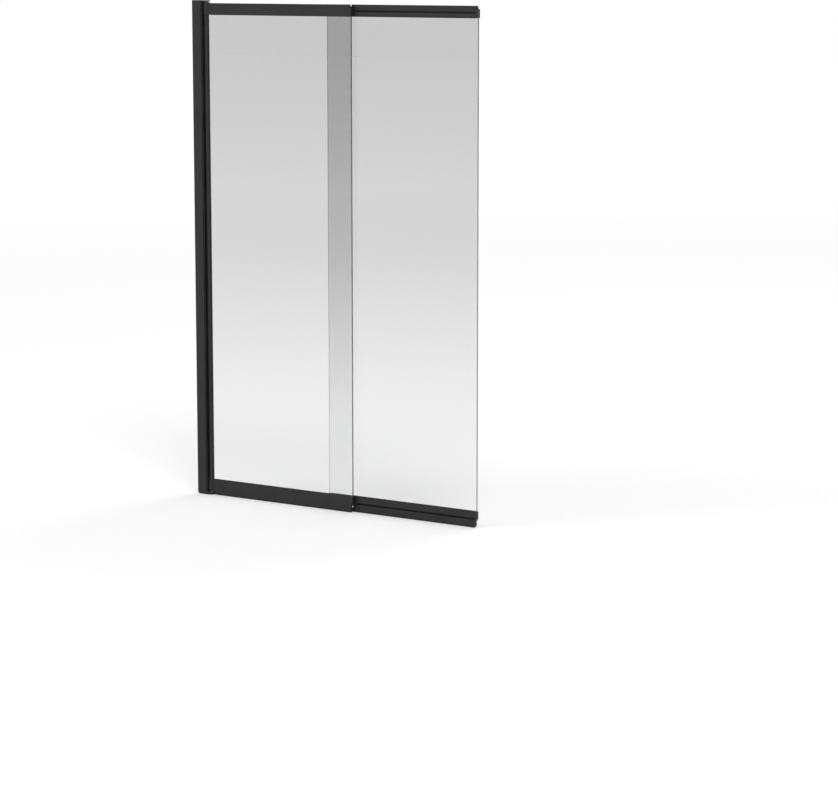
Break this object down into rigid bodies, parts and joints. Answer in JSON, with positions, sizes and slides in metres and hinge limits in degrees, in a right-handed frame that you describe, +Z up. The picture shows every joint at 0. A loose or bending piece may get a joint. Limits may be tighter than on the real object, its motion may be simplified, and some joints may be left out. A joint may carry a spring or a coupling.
{
  "type": "bath screen",
  "caption": "Telescopic bath screen: a clear panel that swings on a black wall profile and a second panel that slides along it in grooved black rails.",
  "frame": {"origin": "on the wall profile's back face, at mid-height and mid-width, where it meets the wall", "axes": "+X from the wall along the screen, +Y to the bath side, +Z up"},
  "size_m": [0.9315, 0.031, 1.4],
  "materials": {
    "black_coat": "matte black powder coat on extruded aluminium and castings",
    "black_plastic": "moulded black plastic, satin",
    "black_rubber": "soft black sealing strip",
    "stainless": "bare stainless steel",
    "white_plastic": "natural bearing plastic",
    "clear_glass": "clear toughened glass with ground edges"
  },
  "bodies": {
    "wall_side": {"wall_profile": "black_coat", "adjusting_profile": "black_coat", "top_bracket": "black_coat", "bottom_bracket": "black_coat", "top_pivot_pin": "stainless", "bottom_pivot_pin": "stainless", "bracket_screws": "stainless", "locking_screws": "stainless", "hinge_strip": "black_rubber"},
    "swing_panel": {"hinge_post": "black_coat", "post_gasket": "black_rubber", "top_hinge_block": "black_coat", "bottom_hinge_block": "black_coat", "top_bush": "white_plastic", "bottom_bush": "white_plastic", "block_grub_screws": "stainless", "stop_buffers": "black_rubber", "swing_glass": "clear_glass", "swing_top_rail": "black_coat", "swing_bottom_rail": "black_coat", "swing_top_gasket": "black_rubber", "swing_bottom_gasket": "black_rubber", "swing_top_cap": "black_plastic", "swing_bottom_cap": "black_plastic", "swing_cap_screws": "stainless", "swing_top_guide": "black_plastic", "swing_bottom_guide": "black_plastic", "swing_drip_seal": "black_rubber"},
    "slide_panel": {"slide_glass": "clear_glass", "slide_top_rail": "black_coat", "slide_bottom_rail": "black_coat", "slide_top_gasket": "black_rubber", "slide_bottom_gasket": "black_rubber", "slide_top_inner_cap": "black_plastic", "slide_top_outer_cap": "black_plastic", "slide_bottom_inner_cap": "black_plastic", "slide_bottom_outer_cap": "black_plastic", "slide_cap_screws": "stainless", "slide_top_guide": "black_plastic", "slide_bottom_guide": "black_plastic", "slide_drip_seal": "black_rubber"}
  },
  "joints": [
    {"name": "screen_swing", "type": "hinge", "parent": "wall_side", "child": "swing_panel", "pos_m": [0.043, 0, 0], "axis": [0, 0, -1], "range_deg": [0, 90]},
    {"name": "panel_slide", "type": "slide", "parent": "swing_panel", "child": "slide_panel", "axis": [1, 0, 0], "range_m": [-0.368, 0]}
  ]
}
